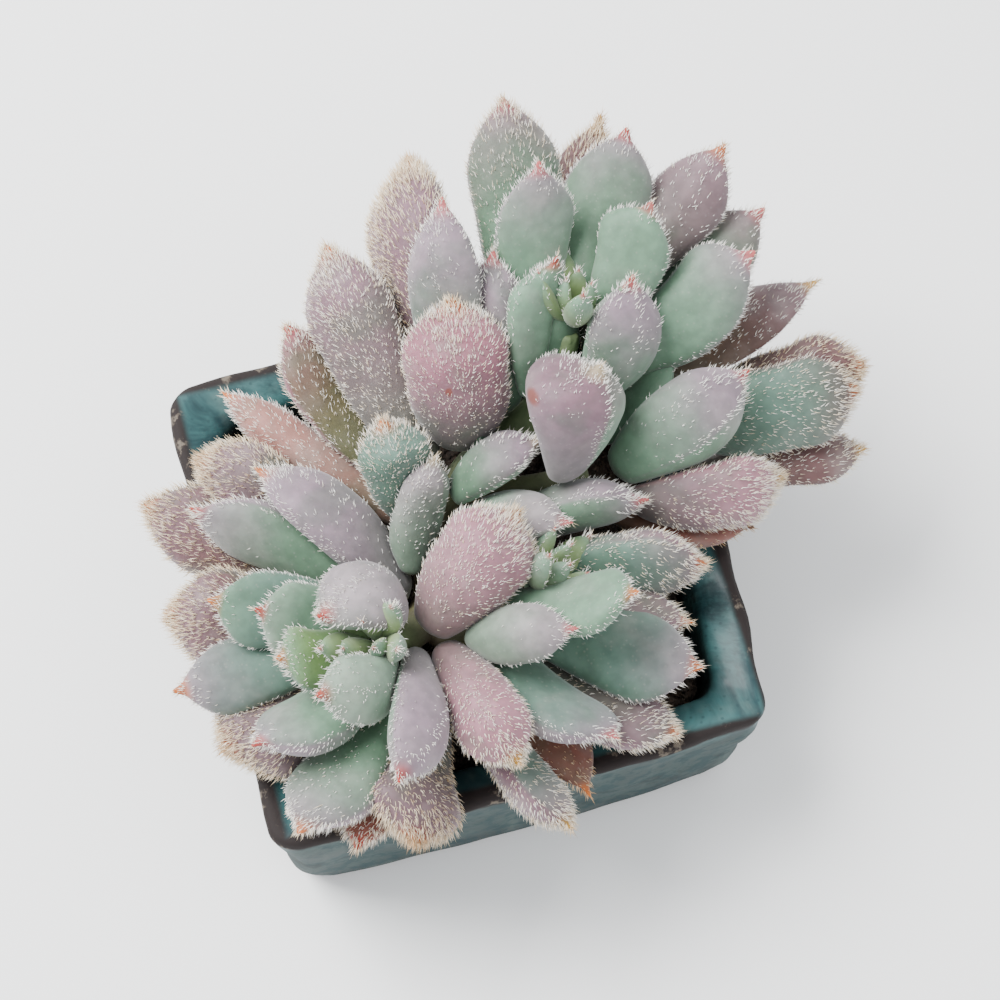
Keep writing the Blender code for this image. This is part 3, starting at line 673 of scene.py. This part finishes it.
# a free leaf: shares of its width and depth at places along it, and how much of the depth is above the margin
outline = {
    "place": (0.0, 0.04, 0.12, 0.25, 0.40, 0.55, 0.68, 0.80, 0.90, 0.96, 1.0),
    "width": (0.0, 0.34, 0.54, 0.78, 0.94, 1.0, 0.93, 0.75, 0.46, 0.21, 0.0),
    "depth": (0.0, 0.42, 0.62, 0.80, 0.94, 1.0, 0.96, 0.80, 0.54, 0.28, 0.0),
    "above": 0.40,
}


def freeGrid(base, compass, rise, length, width, depth, bow, crown):  # a leaf grid of its own, millimetres
    rings, around = leafForm["rings"], leafForm["around"]
    direction = wayOf(compass, rise)
    base = np.array(base, float)
    across, upper = leafFrame(direction, base + direction * length / 2, crown, 0)
    steps = 0.5 - 0.5 * np.cos(np.pi * np.arange(rings + 1) / rings)
    arch = bow * length * 4 * steps * (1 - steps)
    centres = base + np.outer(steps * length, direction) - np.outer(arch, upper)
    turns = 2 * np.pi * np.arange(around) / around
    wide = np.interp(steps, outline["place"], outline["width"]) * width / 2
    deep = np.interp(steps, outline["place"], outline["depth"]) * depth
    wide[1:-1] = (wide[:-2] + 2 * wide[1:-1] + wide[2:]) / 4
    deep[1:-1] = (deep[:-2] + 2 * deep[1:-1] + deep[2:]) / 4
    side, lift = np.cos(turns), np.sin(turns)
    high = lift * np.abs(lift) ** 0.3 * np.where(lift > 0, outline["above"], 1 - outline["above"])
    sideways = (wide[:, None] * side)[..., None] * across
    grid = centres[:, None] + sideways + (deep[:, None] * high)[..., None] * upper
    point = smooth(steps, *leafForm["point"])[:, None, None]
    return grid + point * direction * leafForm["tipLength"] * min(1, length / 30)


# extra leaves: base, compass, rise, length, width, depth, bow, crown
extraLeaves = {
    "back": ((21, 24, 55), 62, 7, 56, 19, 9, 0.05, "a"),
    "corner": ((27, 20, 56), 12, -1, 53, 18, 6, 0.03, "a"),
    "front": ((4, -24, 46), 280, -6, 30, 15, 6, 0.04, "c"),
    "right": ((10, -17, 50), 337, -4, 28, 14, 6, 0.04, "c"),
    "filler": ((8, 12, 50), 80, 56, 24, 14, 7, 0.06, "a"),
    "centre": ((22, 19, 61), 66, 52, 17, 11, 6, 0.06, "a"),
    "under": ((27, 10, 53), 32, 24, 25, 15, 7, 0.06, "a"),
    "rear": ((12, 19, 50), 97, 4, 38, 18, 8, 0.04, "a"),
    "rearMiddle": ((20, 22, 50), 75, 1, 38, 18, 8, 0.04, "a"),
    "rearRight": ((24, 20, 50), 45, 1, 38, 18, 8, 0.04, "a"),
}

# their upper face, back at the base, back at the tip, tip and hair
extraLooks = {
    "back": ("brownMauve", "brownMauve", "brownMauve", "yellowTip", "shaggy"),
    "corner": ("brown", "redBrown", "mauve", "yellowTip", "soft"),
    "front": ("redBrown", "brown", "brown", "orangeTip", "dry"),
    "right": ("greyMauve", "mauve", "mauve", "orangeTip", "furry"),
    "filler": ("mint", "mint", "mint", "pinkTip", "edges"),
    "centre": ("mint", "mint", "mint", "pinkTip", "keel"),
    "under": ("mint", "mint", "mint", "pinkTip", "edges"),
    "rear": ("greyMauve", "mauve", "mauve", "orangeTip", "furry"),
    "rearMiddle": ("sage", "mauve", "brownMauve", "orangeTip", "furry"),
    "rearRight": ("sage", "brownMauve", "mauve", "orangeTip", "shaggy"),
}


def buildExtraLeaves():
    for index, (key, (*form, crown)) in enumerate(extraLeaves.items()):
        *colours, style = extraLooks[key]
        grid = freeGrid(*form, crowns[crown])
        material = leafMaterial(f"extra_{key}_skin", *colours, 60 + index)
        addObject(f"extra_{key}", leafMesh(grid), material)
        growHairs(hairBooks[crown], grid, style, np.random.default_rng(300 + index))


# leaflets in each ring: number, how far they open, size
heartForm = {
    "outer": (5, 0.75, 1.0),
    "inner": (3, 0.28, 0.8),
    "length": 12.0,
    "width": 5.6,
    "depth": 3.6,
    "bow": 0.08,
    "footDepth": 5.5,
    "footWidth": 1.6,
    "hairs": 1.6,
    "colours": ("heartGreen", "heartGreen", "mint", "pinkTip"),
}


def joinMeshes(parts):
    made = parts[0]
    for part in parts[1:]:
        mesh = bpy.data.meshes.new("part")
        part.to_mesh(mesh)
        part.free()
        made.from_mesh(mesh)
        bpy.data.meshes.remove(mesh)
    return made


def buildHearts():
    form = heartForm
    for index, key in enumerate("abc"):
        node = f"heart_{key}"
        made = mergedCopy(node)
        points = np.array([vert.co[:] for vert in made.verts]) / mm
        made.free()
        middle = points.mean(axis=0)
        axis = np.linalg.svd(points - middle)[2][0]
        axis *= np.sign(axis[2])
        foot = middle - axis * form["footDepth"]
        crown = foot + axis * 30
        first = unit(np.cross(axis, (0.3, 0.9, 0.1)))
        second = np.cross(axis, first)
        random = np.random.default_rng(50 + index)
        leaflets = []
        for count, opening, size in (form["outer"], form["inner"]):
            for turn in range(count):
                angle = 2 * math.pi * turn / count + opening * 2 + random.normal(0, 0.12)
                spread = opening * random.uniform(0.85, 1.15)
                outward = first * math.cos(angle) + second * math.sin(angle)
                way = unit(axis + outward * spread)
                compass, rise = math.degrees(math.atan2(way[1], way[0])), math.degrees(math.asin(way[2]))
                start = foot + outward * form["footWidth"] * opening
                length = form["length"] * size * random.uniform(0.9, 1.1)
                width, depth = form["width"] * size, form["depth"] * size
                grid = freeGrid(start, compass, rise, length, width, depth, form["bow"], crown)
                leaflets.append(leafMesh(grid))
                growHairs(hairBooks[key], grid, "keel", random, form["hairs"])
        material = leafMaterial(f"{node}_skin", *form["colours"], 70 + index)
        piece = addObject(f"{node}_skin", joinMeshes(leaflets), material)
        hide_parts(node)


potShape = {
    "foot": 92.5,
    "width": 100.0,
    "height": 40.0,
    "bulge": 1.6,
    "rim": 8.5,
    "footCorner": 5.5,
    "topCorner": 5.5,
    "around": 192,
    "sway": 0.75,
    "dents": 0.62,
    "pulled": 2.4,
    "pulledTurn": -2.356,
    "pulledWidth": 0.26,
    "cornerReach": 70.0,
    "drainRadius": 4.5,
    "drainPlace": 18.0,
}

# where the glaze changes, and where the painted shade in the pot's hollow starts, metres
glazeEdges = {
    "wall": 0.047,
    "wallDepth": (0.004, 0.010),
    "hollow": (0.0425, 0.0385),
    "hollowDepth": (0.001, 0.006),
    "bandDepth": (0.0022, 0.0044),
    "bandReach": (0.0458, 0.0474),
    "foot": (0.0026, 0.0012),
}

# colours of the pot, the soil and the stem, and the painted shade in the pot's hollow
earthColours = {
    "dim": 0.8,
    "glaze": (64, 108, 108),
    "pale": (112, 128, 122),
    "deep": (28, 58, 62),
    # painted shade for the pot's hollow
    "hollowShade": (16, 24, 26),
    "band": (38, 31, 30),
    "chip": (150, 138, 122),
    "wall": (66, 76, 74),
    "soil": (52, 42, 36),
    "grain": (96, 82, 68),
    "bark": (112, 100, 66),
}


def tint(name):
    return tuple(np.array(linear(earthColours[name])[:3]) * earthColours["dim"]) + (1.0,)


def potMaterial():
    material, start, shader = newMaterial("pot_glaze")
    place = objectPlace(start)
    split = start.node("ShaderNodeSeparateXYZ", {}, {0: place})
    x, y, z = (Signal(start.tree, split.socket.node.outputs[index]) for index in range(3))
    broad = start.noise(place, 48.0, 5.0, 0.66, 0.8)
    fine = start.noise(place, 230.0, 4.0, 0.66)
    drawn = start.node("ShaderNodeVectorMath", {"operation": "MULTIPLY"}, {0: place, 1: (1.0, 1.0, 0.12)})
    streak = start.noise(drawn, 150.0, 3.0)
    reach = x.size().atLeast(y.size())
    fromTop = potShape["height"] * mm - z
    outside = (fromTop + (reach - glazeEdges["wall"]) * 2.0).between(*glazeEdges["wallDepth"])
    colour = broad.between(0.38, 0.60).mix(tint("deep"), tint("glaze"))
    colour = (streak.between(0.50, 0.80) * 0.35).mix(colour, tint("pale"))
    colour = (outside * (0.62 + broad * 0.4)).mix(colour, tint("wall"))
    colour = (outside * streak.between(0.50, 0.72) * 0.35).mix(colour, tint("pale"))
    colour = (outside * fine.between(0.46, 0.58) * 0.70).mix(colour, tint("deep"))
    colour = (outside * broad.between(0.52, 0.66) * 0.40).mix(colour, tint("band"))
    specks = start.cells(place, 620.0).between(0.10, 0.30)
    colour = ((1.0 - specks) * 0.5).mix(colour, tint("deep"))
    # painted shade: the hollow of the pot darkens to near black below the rim
    inner = (reach + (fine - 0.5) * 0.003).between(*glazeEdges["hollow"])
    inner = inner * fromTop.between(*glazeEdges["hollowDepth"])
    colour = (inner * 0.92).mix(colour, tint("hollowShade"))
    ragged = fromTop + (fine - 0.5) * 0.0026 + (broad - 0.5) * 0.0020
    high = 1.0 - ragged.size().between(*glazeEdges["bandDepth"])
    nearEdge = high * (reach + (broad - 0.5) * 0.0022).between(*glazeEdges["bandReach"])
    colour = nearEdge.mix(colour, tint("band"))
    chips = nearEdge * fine.between(0.56, 0.66)
    colour = (chips * 0.5).mix(colour, tint("chip"))
    foot = (z + (fine - 0.5) * 0.001).between(*glazeEdges["foot"])
    colour = foot.mix(colour, tint("band"))
    bare = nearEdge.atLeast(foot)
    rough = bare * 0.30 + outside * 0.25 + broad * 0.20 + 0.38
    height = broad * 1.0 + fine * (0.16 + outside * 0.25 + bare * 0.5)
    finishShader(start, shader, colour, rough, height, 0.0006, 0.5)
    coat = (1.0 - bare) * (1.0 - outside) * 0.08
    start.tree.links.new(coat.socket, shader.inputs["Coat Weight"])
    shader.inputs["Coat Roughness"].default_value = 0.15
    shader.inputs["Specular IOR Level"].default_value = 0.28
    return material


def potRing(half, corner, height, wave):  # a rounded square of points with slightly swelling, uneven sides
    shape = potShape
    count = shape["around"] // 4
    straight = count - count // 3
    points = []
    for quarter in range(4):
        turn = quarter * math.pi / 2
        along = np.array((math.cos(turn), math.sin(turn)))
        out = np.array((math.sin(turn), -math.cos(turn)))
        reach = half - corner
        for step in range(straight):
            share = step / straight * 2 - 1
            points.append(along * reach * share + out * (half + shape["bulge"] * (1 - share * share)))
        for step in range(count - straight):
            bend = turn - math.pi / 2 + step / (count - straight) * math.pi / 2
            points.append((along + out) * reach + corner * np.array((math.cos(bend), math.sin(bend))))
    flat = np.array(points)
    turn = np.arctan2(flat[:, 1], flat[:, 0])
    shake = np.sin(3 * turn + 0.8) + 0.7 * np.sin(7 * turn + 2.1) + 0.4 * np.sin(17 * turn + height * 0.1)
    dent = np.sin(9 * turn + height * 0.31) + 0.7 * np.sin(23 * turn - height * 0.17 + 1.0)
    flat *= (1 + (shake * wave * shape["sway"] + dent * wave * shape["dents"]) / (2 * half))[:, None]
    pull = np.exp(-(((turn - shape["pulledTurn"]) / shape["pulledWidth"]) ** 2))  # one corner stands out
    flat *= (1 + shape["pulled"] / shape["cornerReach"] * pull)[:, None]
    lift = (shake * 0.45 + np.sin(29 * turn + 0.5) * 0.12) * shape["sway"] * wave
    return np.column_stack([flat, height + lift])


def potOuter(height):
    share = (height / potShape["height"]) ** 0.8
    return (potShape["foot"] + (potShape["width"] - potShape["foot"]) * share) / 2 - potShape["bulge"]


def buildPot():
    top, edge = potShape["height"], potOuter(potShape["height"])
    inner = edge - potShape["rim"]
    # half width, corner, height and wave of each ring, from under the foot over the rim into the hollow
    rows = [(share * potOuter(0), 8.0 * share, 0.0, 0.0) for share in (0.02, 0.5, 0.9, 0.955)]
    rows += [(potOuter(0) - 0.5, 8.0, 0.35, 0.2), (potOuter(1.6), 8.0, 1.6, 0.3)]
    for height in (6, 11, 16, 21, 26, 31, 35, 37):
        corner = potShape["footCorner"] + (potShape["topCorner"] - potShape["footCorner"]) * height / top
        rows.append((potOuter(height) - 0.15, corner, height, 0.5 + height / top * 0.5))
    rows += [(edge - 0.1, 5.5, 38.3, 1.0), (edge - 0.35, 5.4, 39.3, 1.0), (edge - 1.1, 5.2, 39.85, 1.0)]
    rows += [(edge - 2.2, 5.0, 39.75, 0.9), (edge - 4.0, 4.9, 39.2, 0.8), (edge - 6.0, 4.8, 38.4, 0.7)]
    rows += [(inner + 1.0, 4.8, 37.7, 0.6), (inner + 0.2, 4.8, 36.9, 0.5), (inner - 0.2, 5.0, 35.6, 0.4)]
    rows += [(inner - 0.8, 5.5, 31.0, 0.1), (inner - 1.3, 6.0, 26.0, 0.0), (inner - 3.0, 7.0, 9.0, 0.0)]
    rows += [(inner - 4.5, 6.5, 6.2, 0.0), (inner * 0.5, 6.0, 6.0, 0.0), (inner * 0.02, 0.5, 6.0, 0.0)]
    rings = [potRing(*row) for row in rows]
    start = np.repeat(rings[0].mean(axis=0)[None], len(rings[0]), axis=0)
    end = np.repeat(rings[-1].mean(axis=0)[None], len(rings[0]), axis=0)
    made = leafMesh(np.array([start, *rings, end]))
    piece = addObject("pot_skin", made, potMaterial())
    cutDrains(piece)
    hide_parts("pot")


def cutDrains(piece):  # the two drain holes through the floor of the pot
    cutter = bmesh.new()
    radius, apart = potShape["drainRadius"] * mm, potShape["drainPlace"] * mm
    for side in (-1, 1):
        plug = bmesh.ops.create_cone(
            cutter, cap_ends=True, segments=48, radius1=radius, radius2=radius, depth=0.018
        )
        bmesh.ops.translate(cutter, vec=(side * apart, 0, 0.003), verts=plug["verts"])
    mesh = bpy.data.meshes.new("drain_cutter")
    cutter.to_mesh(mesh)
    cutter.free()
    tool = bpy.data.objects.new("drain_cutter", mesh)
    bpy.context.scene.collection.objects.link(tool)
    step = piece.modifiers.new("drains", "BOOLEAN")
    step.operation = "DIFFERENCE"
    step.solver = "EXACT"
    step.object = tool
    cutMesh = bpy.data.meshes.new_from_object(piece.evaluated_get(bpy.context.evaluated_depsgraph_get()))
    piece.modifiers.remove(step)
    oldMesh = piece.data
    piece.data = cutMesh
    bpy.data.meshes.remove(oldMesh)
    bpy.data.objects.remove(tool, do_unlink=True)
    bpy.data.meshes.remove(mesh)


def soilMaterial():
    material, start, shader = newMaterial("soil_crumbs")
    place = objectPlace(start)
    broad = start.noise(place, 160.0, 5.0, 0.65)
    crumbs = start.cells(place, 700.0)
    colour = broad.between(0.35, 0.7).mix(tint("soil"), tint("grain"))
    colour = (crumbs.between(0.5, 0.1) * 0.4).mix(colour, tint("soil"))
    finishShader(start, shader, colour, broad * 0.1 + 0.85, broad * 0.8 + crumbs * -0.8, 0.002, 1.0)
    return material


# heights and sizes in metres
soilForm = {
    "finerAbove": 0.0265,
    "roughAbove": 0.0275,
    "rough": 0.0011,
    "grains": 700,
    "grainSize": (0.0004, 0.0013),
    "grainSpread": 0.036,
    "grainHeight": 0.0289,
}


def buildSoil():
    form = soilForm
    made = mergedCopy("soil")
    top = [edge for edge in made.edges if min(vert.co.z for vert in edge.verts) > form["finerAbove"]]
    bmesh.ops.subdivide_edges(made, edges=top, cuts=3, use_grid_fill=True)
    random = np.random.default_rng(7)
    for vert in made.verts:
        if vert.co.z > form["roughAbove"]:
            vert.co.z += random.uniform(0.0, form["rough"])
    parts = [made]
    for _ in range(form["grains"]):
        grain = bmesh.new()
        bmesh.ops.create_icosphere(grain, subdivisions=1, radius=random.uniform(*form["grainSize"]))
        bmesh.ops.scale(grain, vec=random.uniform(0.6, 1.2, 3), verts=grain.verts)
        x, y = random.uniform(-form["grainSpread"], form["grainSpread"], 2)
        bmesh.ops.translate(grain, vec=(x, y, form["grainHeight"]), verts=grain.verts)
        parts.append(grain)
    piece = addObject("soil_skin", joinMeshes(parts), soilMaterial())
    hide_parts("soil")


stemForm = {
    "green": (104, 122, 84),
    "greenHeight": (0.043, 0.058),
    "smoothings": 2,
}


def stemMaterial():
    material, start, shader = newMaterial("stem_bark")
    place = objectPlace(start)
    broad = start.noise(place, 90.0, 4.0, 0.6)
    fine = start.noise(place, 520.0, 3.0, 0.6)
    split = start.node("ShaderNodeSeparateXYZ", {}, {0: place})
    high = Signal(start.tree, split.socket.node.outputs[2])
    bark = broad.between(0.35, 0.65).mix(tint("grain"), tint("bark"))
    young = (high + (broad - 0.5) * 0.01).between(*stemForm["greenHeight"])
    colour = young.mix(bark, linear(stemForm["green"]))
    finishShader(start, shader, colour, fine * 0.2 + 0.6, broad + fine * 0.4, 0.0008, 0.7)
    return material


def buildStem():
    made = mergedCopy("stem")
    piece = addObject("stem_skin", made, stemMaterial())
    step = piece.modifiers.new("finer", "SUBSURF")
    step.levels = stemForm["smoothings"]
    step.render_levels = stemForm["smoothings"]
    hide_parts("stem")


print("pot")
buildPot()
print("soil")
buildSoil()
print("stem")
buildStem()
print("leaves")
buildLeaves()
print("hearts")
buildHearts()
print("extra leaves")
buildExtraLeaves()
print("hairs")
hairSkin = hairMaterial()
for bookKey in hairBooks:
    buildHairs(bookKey, hairSkin)
